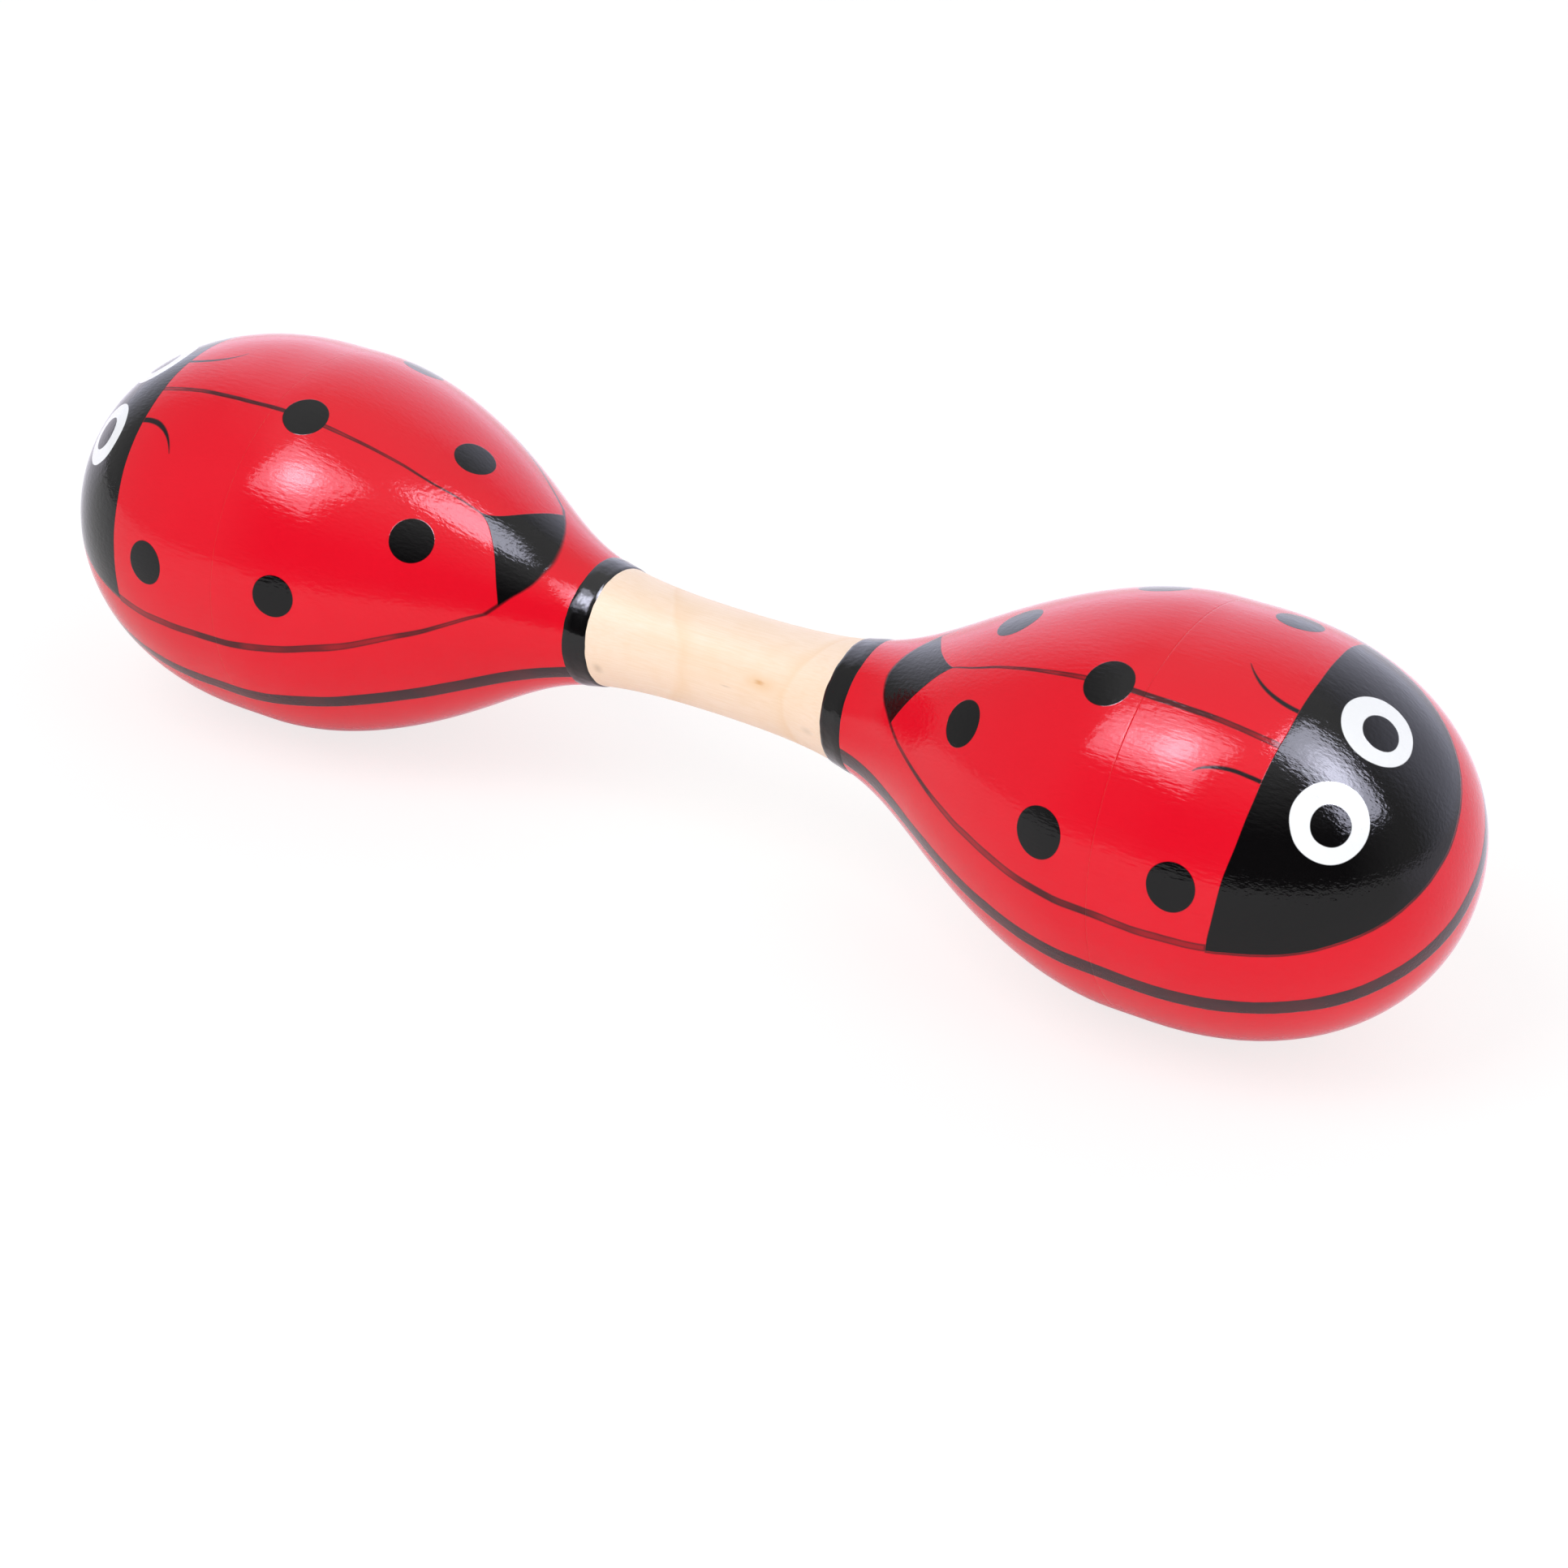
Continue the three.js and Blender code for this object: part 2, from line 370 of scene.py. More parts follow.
# The painted ladybird of each bulb. Angles are from the middle of its back, positive over the far side.
# Dots and eyes are (distance, angle, radius). A line's height out of the back is a curve about
# lineMiddle.
lineMiddle = 65.0
motifs = {
    "right": {
        "side": 1, "backTurn": 57.4,
        "dots": [(69.6, 0.0, 3.5), (49.3, -21.0, 3.35), (48.9, 24.5, 3.4), (66.8, -43.7, 3.55),
                 (64.4, 50.0, 3.6), (86.5, -46.8, 3.4), (84.9, 48.6, 3.3)],
        "wingLine": {"apex": 43.0, "apexAcross": 0.2, "headAcross": -0.5,
                     "apexWidth": 0.2, "headWidth": 0.8},
        "tail": {"depth": 8.0, "halfWidth": 7.4, "power": 0.68,
                 "rear": 12.3, "rearBow": 0.0, "corner": 35.0},
        "edgeLine": {"height": 14.2, "slope": 0.0043, "bow": -0.00236, "width": 1.0},
        "lowerLine": {"height": 4.7, "slope": -0.021, "bow": -0.002, "width": 2.9},
        "head": {"neck": 94.2, "neckBow": 0.0042, "cheek": 11.75, "cheekSlope": -0.155, "cheekAt": 95.0},
        "eyes": [(102.8, -16.2, 5.25), (102.6, 22.6, 5.25)],
        "pupils": [(103.0, -17.0, 2.75), (103.0, 22.3, 2.7)],
        "antennae": [{"across": 5.08, "rise": 10.15, "reach": 10.92, "tip": 9.3, "width": 0.66},
                     {"across": -5.82, "rise": -2.62, "reach": 8.95, "tip": -7.9, "width": 0.62}],
        "seam": {"at": 75.0, "groove": 0.024},
    },
    "left": {
        "side": -1, "backTurn": 65.5,
        "dots": [(67.1, 0.2, 3.4), (45.2, -24.7, 3.3), (45.2, 24.4, 3.25), (62.2, -56.4, 3.2),
                 (65.0, 53.0, 3.3), (85.7, -57.9, 3.35), (85.7, 57.8, 3.35)],
        "wingLine": {"apex": 39.9, "apexAcross": 0.55, "headAcross": -1.05,
                     "apexWidth": 0.2, "headWidth": 0.7},
        "tail": {"depth": 7.0, "halfWidth": 9.0, "power": 0.55,
                 "rear": 11.2, "rearBow": 0.0195, "corner": 32.6},
        "edgeLine": {"height": 7.25, "slope": -0.0324, "bow": 0.000726, "width": 1.15},
        "lowerLine": {"height": -3.62, "slope": -0.0125, "bow": 0.00125, "width": 2.6},
        "head": {"neck": 94.3, "neckBow": 0.0022, "cheek": 6.9, "cheekSlope": 0.0, "cheekAt": 95.0},
        "eyes": [(102.9, -20.5, 5.2), (101.6, 16.8, 5.2)],
        "pupils": [(103.2, -20.5, 2.7), (101.9, 16.8, 2.7)],
        "antennae": [{"across": 5.34, "rise": 4.34, "reach": 9.41, "tip": 8.9, "width": 0.56},
                     {"across": -6.88, "rise": -8.13, "reach": 9.77, "tip": -11.6, "width": 0.9}],
        "seam": {"at": 72.5, "groove": 0.006},
    },
}


def makeLadybirdLacquer(name):
    paint = lacquer
    motif = motifs[name]
    material, put = newMaterial(name + "_ladybird_lacquer")

    # Place on the bulb: X from the waist to the tip, Y across the back, Z out of the back.
    objectPlace = put("TexCoord").outputs["Object"]
    centred = put("VectorMath", {0: objectPlace, 1: (0, 0, axisHeight)}, operation="SUBTRACT")
    place = put("Mapping", {"Vector": centred, "Rotation": (math.radians(motif["backTurn"] - 90), 0, 0),
                            "Scale": (motif["side"] / mm, 1 / mm, 1 / mm)})

    # A hand is never quite steady: every painted edge wanders a little.
    wobble = put("TexNoise", {"Vector": place, "Scale": 1 / paint["wobbleLength"], "Detail": 1.0})
    aside = put("VectorMath", {0: wobble.outputs["Color"], 1: (0.5, 0.5, 0.5)}, operation="SUBTRACT")
    handPlace = put("VectorMath", {0: aside, 1: (2 * paint["handWobble"],) * 3, 2: place},
                    operation="MULTIPLY_ADD")
    apart = put("SeparateXYZ", {0: handPlace})
    along, across, out = apart.outputs

    def spotCentre(distance, angle):
        radius = radiusAt(outside, distance)
        turn = math.radians(angle)
        return (distance, radius * math.sin(turn), radius * math.cos(turn))

    # Distance in mm from the edge of the nearest round spot, below zero inside it.
    def spots(places):
        nearest = None
        for distance, angle, radius in places:
            centre = spotCentre(distance, angle)
            gap = put("VectorMath", {0: handPlace, 1: centre}, operation="DISTANCE").outputs["Value"]
            edge = put("Math", {0: gap, 1: radius}, operation="SUBTRACT")
            nearest = edge if nearest is None else put("Math", {0: nearest, 1: edge}, operation="MINIMUM")
        return nearest

    # How far a point lies out of the back beyond a line that bows along the bulb.
    fromMiddle = put("Math", {0: along, 1: lineMiddle}, operation="SUBTRACT")

    def beyondLine(line):
        bowed = put("Math", {0: fromMiddle, 1: line["bow"], 2: line["slope"]}, operation="MULTIPLY_ADD")
        height = put("Math", {0: bowed, 1: fromMiddle, 2: line["height"]}, operation="MULTIPLY_ADD")
        return put("Math", {0: out, 1: height}, operation="SUBTRACT")

    def covered(edge, softness=paint["edgeSoftness"]):
        return put("MapRange", {"Value": edge, "From Min": softness, "From Max": -softness})

    # Wing line down the middle of the back, from the tail to the head.
    wing = motif["wingLine"]
    neck = motif["head"]["neck"]
    wingAcross = put("MapRange", {"Value": along, "From Min": wing["apex"], "From Max": neck,
                                  "To Min": wing["apexAcross"], "To Max": wing["headAcross"]}, clamp=False)
    wingHalf = put("MapRange", {"Value": along, "From Min": wing["apex"],
                                "From Max": wing["apex"] + paint["wingTaper"],
                                "To Min": wing["apexWidth"] / 2, "To Max": wing["headWidth"] / 2})
    fromWing = put("Math", {0: across, 1: wingAcross}, operation="SUBTRACT")
    besideWing = put("Math", {0: fromWing}, operation="ABSOLUTE")
    wingEdge = put("Math", {0: besideWing, 1: wingHalf}, operation="SUBTRACT")
    ahead = put("Math", {0: wing["apex"] - paint["wingOverlap"], 1: along}, operation="SUBTRACT")
    wingEdge = put("Math", {0: wingEdge, 1: ahead}, operation="MAXIMUM")

    # Edge of the wing cases, which rounds the tail at the rear. Its line starts at the tail's corners.
    tail = motif["tail"]
    acrossSquared = put("Math", {0: across, 1: 2.0}, operation="POWER")
    rearHeight = put("Math", {0: acrossSquared, 1: -tail["rearBow"], 2: tail["rear"]},
                     operation="MULTIPLY_ADD")
    beyondRear = put("Math", {0: out, 1: rearHeight}, operation="SUBTRACT")
    beyondSide = beyondLine(motif["edgeLine"])
    insideCase = put("Math", {0: beyondSide, 1: beyondRear}, operation="MINIMUM")
    besideEdge = put("Math", {0: insideCase}, operation="ABSOLUTE")
    edgeHalf = put("MapRange", {"Value": along, "From Min": tail["corner"] - paint["edgeLead"],
                                "From Max": tail["corner"] + paint["edgeTaper"],
                                "To Min": paint["edgeTip"], "To Max": motif["edgeLine"]["width"] / 2})
    edgeLine = put("Math", {0: besideEdge, 1: edgeHalf}, operation="SUBTRACT")

    # The thick line below it.
    beyondLower = beyondLine(motif["lowerLine"])
    besideLower = put("Math", {0: beyondLower}, operation="ABSOLUTE")
    lowerLine = put("Math", {0: besideLower, 1: motif["lowerLine"]["width"] / 2}, operation="SUBTRACT")

    # Antennae: quarter ellipses that leave the head along the bulb, bend outwards and thin out to a tip.
    feelers = None
    for feeler in motif["antennae"]:
        reach, rise, root = feeler["reach"], feeler["rise"], feeler["across"]
        back = put("MapRange", {"Value": along, "From Min": neck, "From Max": neck - reach}, clamp=False)
        inward = put("MapRange", {"Value": across, "From Min": root + rise, "From Max": root},
                     clamp=False)
        onEllipse = put("CombineXYZ", {"X": back, "Y": inward})
        ring = put("VectorMath", {0: onEllipse}, operation="LENGTH").outputs["Value"]
        slope = put("VectorMath", {0: onEllipse, 1: (1 / reach, 1 / rise, 0)}, operation="MULTIPLY")
        steepness = put("VectorMath", {0: slope}, operation="LENGTH").outputs["Value"]
        scale = put("Math", {0: ring, 1: steepness}, operation="DIVIDE")
        beyondRing = put("Math", {0: ring, 1: 1.0}, operation="SUBTRACT")
        gap = put("Math", {0: beyondRing, 1: scale}, operation="MULTIPLY")
        beside = put("Math", {0: gap}, operation="ABSOLUTE")
        share = put("MapRange", {"Value": across, "From Min": root, "From Max": feeler["tip"]},
                    clamp=False)
        half = put("MapRange", {"Value": share, "To Min": feeler["width"] / 2,
                                "To Max": paint["feelerTip"]})
        edge = put("Math", {0: beside, 1: half}, operation="SUBTRACT")
        pastTip = put("MapRange", {"Value": share, "From Min": 1.0, "From Max": 2.0,
                                   "To Max": paint["feelerCut"]}, clamp=False)
        edge = put("Math", {0: edge, 1: pastTip}, operation="MAXIMUM")
        feelers = edge if feelers is None else put("Math", {0: feelers, 1: edge}, operation="MINIMUM")

    # Tail: the end of the wing cases, cut by two hollow curves that meet on the wing line.
    tailShare = put("Math", {0: besideWing, 1: tail["halfWidth"]}, operation="DIVIDE")
    tailCurve = put("Math", {0: tailShare, 1: tail["power"]}, operation="POWER")
    tailFront = put("Math", {0: tailCurve, 1: -tail["depth"], 2: wing["apex"]}, operation="MULTIPLY_ADD")
    pastFront = put("Math", {0: along, 1: tailFront}, operation="SUBTRACT")
    outsideCase = put("Math", {0: insideCase, 1: -1.0}, operation="MULTIPLY")
    tailEdge = put("Math", {0: pastFront, 1: outsideCase}, operation="MAXIMUM")

    # Head: beyond the neck line and above the cheek line.
    head = motif["head"]
    neckLine = put("Math", {0: acrossSquared, 1: -head["neckBow"], 2: neck}, operation="MULTIPLY_ADD")
    behindNeck = put("Math", {0: neckLine, 1: along}, operation="SUBTRACT")
    pastCheek = put("Math", {0: along, 1: head["cheekAt"]}, operation="SUBTRACT")
    cheekLine = put("Math", {0: pastCheek, 1: head["cheekSlope"], 2: head["cheek"]},
                    operation="MULTIPLY_ADD")
    belowCheek = put("Math", {0: cheekLine, 1: out}, operation="SUBTRACT")
    headEdge = put("Math", {0: behindNeck, 1: belowCheek}, operation="MAXIMUM")

    # The thin lines stop at the head, and only the edge line comes near the underside.
    # It runs on round the cheek.
    underside = put("Math", {0: out, 1: -1.0}, operation="MULTIPLY")
    pastNeck = put("Math", {0: behindNeck, 1: -1.0}, operation="MULTIPLY")
    offLimits = put("Math", {0: underside, 1: pastNeck}, operation="MAXIMUM")
    feelers = put("Math", {0: feelers, 1: offLimits}, operation="MAXIMUM")
    wingEdge = put("Math", {0: wingEdge, 1: offLimits}, operation="MAXIMUM")
    edgeLine = put("Math", {0: edgeLine, 1: pastNeck}, operation="MAXIMUM")
    lineEdge = put("Math", {0: wingEdge, 1: edgeLine}, operation="MINIMUM")
    besideCheek = put("Math", {0: belowCheek}, operation="ABSOLUTE")
    cheekRim = put("Math", {0: besideCheek, 1: paint["cheekRim"]}, operation="SUBTRACT")
    cheekRim = put("Math", {0: cheekRim, 1: behindNeck}, operation="MAXIMUM")
    lineEdge = put("Math", {0: lineEdge, 1: cheekRim}, operation="MINIMUM")

    solidEdge = put("Math", {0: tailEdge, 1: headEdge}, operation="MINIMUM")
    solidEdge = put("Math", {0: solidEdge, 1: spots(motif["dots"])}, operation="MINIMUM")

    # The wood's grain shows through the lacquer as fine streaks in the gloss. The lines are darkest
    # at their edges, where the paint gathered, and thin in the middle where the brush ran dry.
    stretch = (1 / paint["grainLength"], 1 / paint["grainWidth"], 1 / paint["grainWidth"])
    grainPlace = put("VectorMath", {0: place, 1: stretch}, operation="MULTIPLY")
    grain = put("TexNoise", {"Vector": grainPlace, "Scale": 1.0, "Detail": 2.0})
    least, most = paint["dryRange"]
    dryness = put("MapRange", {"Value": wobble, "From Min": least, "From Max": most,
                               "To Min": paint["leastThinning"] * paint["lineThinning"],
                               "To Max": paint["lineThinning"]})

    def brushed(edge, softness, share):
        core = put("MapRange", {"Value": edge, "From Min": -paint["middleStart"],
                                "From Max": -paint["middleFull"], "To Max": share})
        thin = put("Math", {0: core, 1: dryness}, operation="MULTIPLY")
        cover = put("Math", {0: 1.0, 1: thin}, operation="SUBTRACT")
        return put("Math", {0: covered(edge, softness), 1: cover}, operation="MULTIPLY")

    lineMask = brushed(lineEdge, paint["lineSoftness"], 1.0)
    feelerMask = covered(feelers, paint["lineSoftness"])
    lowerMask = brushed(lowerLine, paint["lowerSoftness"], paint["lowerThinning"])
    solidMask = covered(solidEdge)
    whiteMask = covered(spots(motif["eyes"]))
    pupilMask = covered(spots(motif["pupils"]))

    drift = put("TexNoise", {"Vector": place, "Scale": 1 / paint["driftSize"], "Detail": 2.0})
    colour = put("Mix", {"Factor": drift, "A": linearColour(paint["red"]),
                         "B": linearColour(paint["deepRed"])}, data_type="RGBA")
    for mask, tint in ((lowerMask, "thinBlack"), (lineMask, "dryBlack"), (feelerMask, "dryBlack"),
                       (solidMask, "black"), (whiteMask, "white"), (pupilMask, "black")):
        colour = put("Mix", {"Factor": mask, "A": colour, "B": linearColour(paint[tint])},
                     data_type="RGBA")

    # Relief in mm: orange peel, wood grain and the thickness of the enamel.
    peel = put("TexNoise", {"Vector": place, "Scale": 1 / paint["peelSize"], "Detail": 2.0})
    relief = put("Math", {0: peel, 1: paint["peelHeight"]}, operation="MULTIPLY")
    relief = put("Math", {0: grain, 1: paint["grainHeight"], 2: relief}, operation="MULTIPLY_ADD")
    enamel = put("Math", {0: solidMask, 1: whiteMask}, operation="MAXIMUM")
    enamel = put("Math", {0: enamel, 1: lowerMask}, operation="MAXIMUM")
    enamel = put("Math", {0: enamel, 1: pupilMask}, operation="ADD")
    relief = put("Math", {0: enamel, 1: paint["paintHeight"], 2: relief}, operation="MULTIPLY_ADD")
    fromSeam = put("Math", {0: put("SeparateXYZ", {0: place}).outputs["X"], 1: motif["seam"]["at"]},
                   operation="SUBTRACT")
    besideSeam = put("Math", {0: fromSeam}, operation="ABSOLUTE")
    groove = put("MapRange", {"Value": besideSeam, "From Min": paint["seamWidth"], "From Max": 0.0,
                              "To Max": motif["seam"]["groove"]}, interpolation_type="SMOOTHSTEP")
    relief = put("Math", {0: relief, 1: groove}, operation="SUBTRACT")
    bump = put("Bump", {"Height": relief, "Strength": 1.0, "Distance": mm})
    least, most = paint["roughness"]
    roughness = put("MapRange", {"Value": grain, "To Min": least, "To Max": most})
    shader = put("BsdfPrincipled", {"Base Color": colour, "Roughness": roughness, "Normal": bump,
                                    "IOR": paint["ior"]})
    put("OutputMaterial", {"Surface": shader})
    return material


# Black enamel laid on thick with a full brush: deep gloss with slow ripples.

bandEnamel = {
    "black": "#0c0b0c", "roughness": (0.1, 0.18), "ior": 1.5,
    "rippleSize": 1.2, "rippleHeight": 0.07,
}


def makeBandEnamel():
    material, put = newMaterial("thick_black_enamel")
    place = put("VectorMath", {0: put("TexCoord").outputs["Object"], "Scale": 1 / mm}, operation="SCALE")
    ripple = put("TexNoise", {"Vector": place, "Scale": 1 / bandEnamel["rippleSize"], "Detail": 1.5})
    bump = put("Bump", {"Height": ripple, "Strength": 1.0, "Distance": bandEnamel["rippleHeight"] * mm})
    least, most = bandEnamel["roughness"]
    roughness = put("MapRange", {"Value": ripple, "To Min": least, "To Max": most})
    shader = put("BsdfPrincipled", {"Base Color": linearColour(bandEnamel["black"]),
                                    "Roughness": roughness, "Normal": bump, "IOR": bandEnamel["ior"]})
    put("OutputMaterial", {"Surface": shader})
    return material


# Cast steel shot, tumbled: grey metal with a dull bloom and small dents.

shotSteel = {
    "bright": "#b4b6b8", "dull": "#7d7f82", "bloomSize": 1.2,
    "roughness": (0.22, 0.5), "bumpStrength": 0.4, "bumpDepth": 0.05,
}


def makeShotSteel():
    material, put = newMaterial("tumbled_steel_shot")
    place = put("VectorMath", {0: put("TexCoord").outputs["Object"], "Scale": 1 / mm}, operation="SCALE")
    bloom = put("TexNoise", {"Vector": place, "Scale": 1 / shotSteel["bloomSize"], "Detail": 4.0})
    colour = put("Mix", {"Factor": bloom, "A": linearColour(shotSteel["bright"]),
                         "B": linearColour(shotSteel["dull"])}, data_type="RGBA")
    least, most = shotSteel["roughness"]
    roughness = put("MapRange", {"Value": bloom, "To Min": least, "To Max": most})
    bump = put("Bump", {"Height": bloom, "Strength": shotSteel["bumpStrength"],
                        "Distance": shotSteel["bumpDepth"] * mm})
    shader = put("BsdfPrincipled", {"Base Color": colour, "Roughness": roughness, "Normal": bump,
                                    "Metallic": 1.0})
    put("OutputMaterial", {"Surface": shader})
    return material


sealedWood = makeLimewood()
rawInside = makeRawWood()
ladybirdLacquer = {name: makeLadybirdLacquer(name) for name in motifs}
blackEnamel = makeBandEnamel()
shotMetal = makeShotSteel()
print("materials made:", len(bpy.data.materials))


# Grip: the bare waist with a tenon at each end, which the bulbs hide. Each joint lies under a black band.

grip = {"shoulder": {"right": 21.4, "left": 20.37}, "tenonRadius": 5.0, "tenonChamfer": 0.8}


def makeGrip():
    bm = bmesh.new()
    for name, shoulder in grip["shoulder"].items():
        side = motifs[name]["side"]
        half = stretchOf(outside, 0, shoulder)
        turnProfile(bm, half, side)
        tenon = [half[-1], (shoulder, grip["tenonRadius"]),
                 (tenonEnd - grip["tenonChamfer"], grip["tenonRadius"]),
                 (tenonEnd, grip["tenonRadius"] - grip["tenonChamfer"]), (tenonEnd, 0)]
        for face in turnProfile(bm, tenon, side):
            face.material_index = 1
    weld(bm)
    bmesh.ops.translate(bm, verts=bm.verts, vec=(0, 0, axisHeight))
    addPiece("bare_grip", bm, "wooden_body", [sealedWood, rawInside], ["grip"])


makeGrip()
print("grip turned")


# Shells: the neck half and the cap of each bulb, lapped at a seam whose hairline shows in the lacquer.

shells = {
    "hairline": 0.01,
    "neckGap": 0.01, "socketRadius": 5.15,
    "lapLength": 4.0, "lapDepth": 3.0, "glueGap": 0.15,
    "tipRadius": 0.3,  # the chamber's last points closer to the axis give way to its tip
}


def addShell(name, node, outer, inner, side):
    bm = bmesh.new()
    turnProfile(bm, outer, side)
    for face in turnProfile(bm, inner, side):
        face.material_index = 1
    weld(bm)
    bmesh.ops.translate(bm, verts=bm.verts, vec=(0, 0, axisHeight))
    addPiece(node + "_painted", bm, "wooden_body",
             [ladybirdLacquer[name], rawInside], [node])


def makeBulb(name):
    side = motifs[name]["side"]
    seam = motifs[name]["seam"]["at"]
    lapRadius = radiusAt(outside, seam) - shells["lapDepth"]
    spigotEnd = seam - shells["lapLength"]
    rebateFloor = spigotEnd - shells["glueGap"]

    neckRim = seam - shells["hairline"] / 2
    start = grip["shoulder"][name] + shells["neckGap"]
    rebateRadius = lapRadius + shells["glueGap"]
    neckOuter = stretchOf(outside, start, neckRim)
    neckInner = [neckOuter[-1], (neckRim, rebateRadius), (rebateFloor, rebateRadius),
                 *reversed(stretchOf(chamber, tenonEnd, rebateFloor)),
                 (tenonEnd, shells["socketRadius"]), (start, shells["socketRadius"]), neckOuter[0]]
    addShell(name, name + "_neck_shell", neckOuter, neckInner, side)

    capRim = seam + shells["hairline"] / 2
    capOuter = stretchOf(outside, capRim, halfLength)
    chamberTip = (halfLength - turning["wall"], 0)
    capInner = [capOuter[0], (capRim, lapRadius), (spigotEnd, lapRadius),
                (spigotEnd, radiusAt(chamber, spigotEnd)),
                *[p for p in chamber if spigotEnd < p[0] and p[1] > shells["tipRadius"]], chamberTip]
    addShell(name, name + "_cap_shell", capOuter, capInner, side)


for name in motifs:
    makeBulb(name)
print("shells turned:", 2 * len(motifs))


# Bands: a thick black stroke of enamel round each joint of grip and bulb, with a wavy, rounded edge.

bands = {
    "right": {"woodEdge": 20.65, "redEdge": 24.85, "seed": 3.0},
    "left": {"woodEdge": 19.65, "redEdge": 23.25, "seed": 8.0},
    "thickness": 0.2, "edgeSunk": 0.03, "sunk": 0.12, "steps": 14,
    "woodRise": (9, 0.5), "redRise": (3.2, 0.7),  # steepness and roundness of each edge
    # Each edge has a slow wave and a quick one, with the quick one's share. The beads are quicker still.
    "wave": 0.28, "woodWave": (1.3, 5, 0.35), "redWave": (1.1, 6, 0.2), "redStart": (4, 0, 0),
    "lump": 0.09, "lumpPace": 7, "lumpStart": (0, 5, 0),
}


def makeBand(name):
    side = motifs[name]["side"]
    band = bands[name]
    bm = bmesh.new()
    profile = []
    woodSteepness, woodRoundness = bands["woodRise"]
    redSteepness, redRoundness = bands["redRise"]
    for i in range(bands["steps"] + 1):
        share = i / bands["steps"]
        distance = band["woodEdge"] + (band["redEdge"] - band["woodEdge"]) * share
        woodRise = min(1, woodSteepness * share) ** woodRoundness
        redRise = min(1, redSteepness * (1 - share)) ** redRoundness
        foot = radiusAt(outside, distance) - bands["edgeSunk"]
        profile.append((distance, foot + bands["thickness"] * woodRise * redRise))
    under = [(s, radiusAt(outside, s) - bands["sunk"]) for s, r in (profile[-1], profile[0])]
    turnProfile(bm, [*profile, *under, profile[0]], side)
    weld(bm)

    # A loaded brush leaves a wavy edge and small beads on the wood side.
    woodSlow, woodQuick, woodShare = bands["woodWave"]
    redSlow, redQuick, redShare = bands["redWave"]
    redStart = Vector(bands["redStart"])
    lumpStart = Vector(bands["lumpStart"])
    for vert in bm.verts:
        angle = math.atan2(vert.co.z, -vert.co.y)
        around = Vector((math.cos(angle), math.sin(angle), band["seed"]))
        share = (abs(vert.co.x) / mm - band["woodEdge"]) / (band["redEdge"] - band["woodEdge"])
        woodWave = noise.noise(around * woodSlow) + woodShare * noise.noise(around * woodQuick)
        redWave = noise.noise(around * redSlow + redStart) + redShare * noise.noise(around * redQuick)
        shift = bands["wave"] * (woodWave * (1 - share) + redWave * share)
        vert.co.x += shift * mm * side
        lump = max(0, noise.noise(around * bands["lumpPace"] + lumpStart))
        bead = bands["lump"] * lump * max(0, 1 - 2 * share)
        outward = Vector((0, vert.co.y, vert.co.z)).normalized()
        distance = abs(vert.co.x) / mm
        climb = radiusAt(outside, distance) - radiusAt(outside, distance - shift)
        vert.co += outward * (climb + bead) * mm
    bmesh.ops.recalc_face_normals(bm, faces=bm.faces)
    bmesh.ops.translate(bm, verts=bm.verts, vec=(0, 0, axisHeight))
    addPiece(name + "_black_band", bm, "wooden_body", [blackEnamel])


for name in motifs:
    makeBand(name)
print("bands painted")


# Pellets: cast steel shot, each one a little out of round, with a flat where it left its mould.

shot = {"dent": 0.08, "dentSize": 1.6, "spread": 50, "flatDepth": 0.12, "fineness": 3, "seed": 11}


def makePellets():
    random.seed(shot["seed"])
    pelletNodes = [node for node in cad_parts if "_pellet_" in node]
    for node in sorted(pelletNodes):
        low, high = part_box(node)
        centre = (low + high) / 2
        radius = (high.z - low.z) / 2
        bm = bmesh.new()
        bmesh.ops.create_icosphere(bm, subdivisions=shot["fineness"], radius=radius)
        drift = Vector([random.uniform(0, shot["spread"]) for axis in "xyz"])
        for vert in bm.verts:
            dent = noise.noise(vert.co / (shot["dentSize"] * mm) + drift)
            vert.co *= 1 - shot["dent"] * mm / radius * max(0, dent)
        flat = Vector([random.uniform(-1, 1) for axis in "xyz"]).normalized()
        bmesh.ops.bisect_plane(bm, geom=[*bm.verts, *bm.edges, *bm.faces], plane_no=flat,
                               plane_co=flat * (radius - shot["flatDepth"] * mm), clear_outer=True)
        bmesh.ops.holes_fill(bm, edges=[edge for edge in bm.edges if edge.is_boundary])
        bmesh.ops.recalc_face_normals(bm, faces=bm.faces)
        bmesh.ops.translate(bm, verts=bm.verts, vec=centre)
        addPiece(node + "_shot", bm, node, [shotMetal], [node])
    print("pellets cast:", len(pelletNodes))


makePellets()


# Studio: a white table under soft light. World and table show white to the eye and in reflections.

